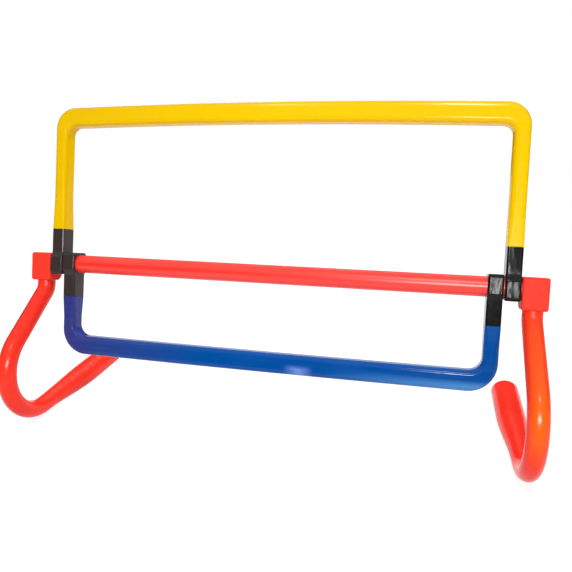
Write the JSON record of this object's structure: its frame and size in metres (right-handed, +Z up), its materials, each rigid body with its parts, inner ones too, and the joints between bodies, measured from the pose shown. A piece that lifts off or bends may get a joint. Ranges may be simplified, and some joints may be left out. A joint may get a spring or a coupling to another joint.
{
  "type": "speed hurdle",
  "caption": "Low training hurdle with a round crossbar on looped legs and two coloured flip frames that turn on the crossbar to change its height.",
  "frame": {"origin": "on the floor under the middle of the outline", "axes": "+X along the crossbar to the right of the picture, +Y away from the runner towards the tails of the feet, +Z up"},
  "size_m": [0.4902, 0.1854, 0.3004],
  "materials": {
    "red_plastic": "glossy moulded",
    "yellow_plastic": "glossy moulded",
    "blue_plastic": "glossy moulded",
    "black_plastic": "glossy moulded",
    "ring_rubber": "matte",
    "screw_steel": "zinc plated"
  },
  "bodies": {
    "base": {"crossbar": "red_plastic", "left_bar_plug": "black_plastic", "right_bar_plug": "black_plastic", "left_hub": "red_plastic", "right_hub": "red_plastic", "left_hub_screw": "screw_steel", "right_hub_screw": "screw_steel", "left_leg": "red_plastic", "right_leg": "red_plastic", "left_leg_screw": "screw_steel", "right_leg_screw": "screw_steel"},
    "yellow_flip_frame": {"yellow_frame": "yellow_plastic", "left_yellow_pivot": "black_plastic", "right_yellow_pivot": "black_plastic", "left_yellow_friction_ring": "ring_rubber", "right_yellow_friction_ring": "ring_rubber", "left_yellow_screw": "screw_steel", "right_yellow_screw": "screw_steel"},
    "blue_flip_frame": {"blue_frame": "blue_plastic", "left_blue_pivot": "black_plastic", "right_blue_pivot": "black_plastic", "left_blue_friction_ring": "ring_rubber", "right_blue_friction_ring": "ring_rubber", "left_blue_screw": "screw_steel", "right_blue_screw": "screw_steel"}
  },
  "joints": [
    {"name": "yellow_flip", "type": "hinge", "parent": "base", "child": "yellow_flip_frame", "pos_m": [0, -0.00134, 0.149], "axis": [1, 0, 0], "range_deg": [-141, 173]},
    {"name": "blue_flip", "type": "hinge", "parent": "base", "child": "blue_flip_frame", "pos_m": [0, -0.00134, 0.149], "axis": [1, 0, 0], "continuous": true}
  ]
}
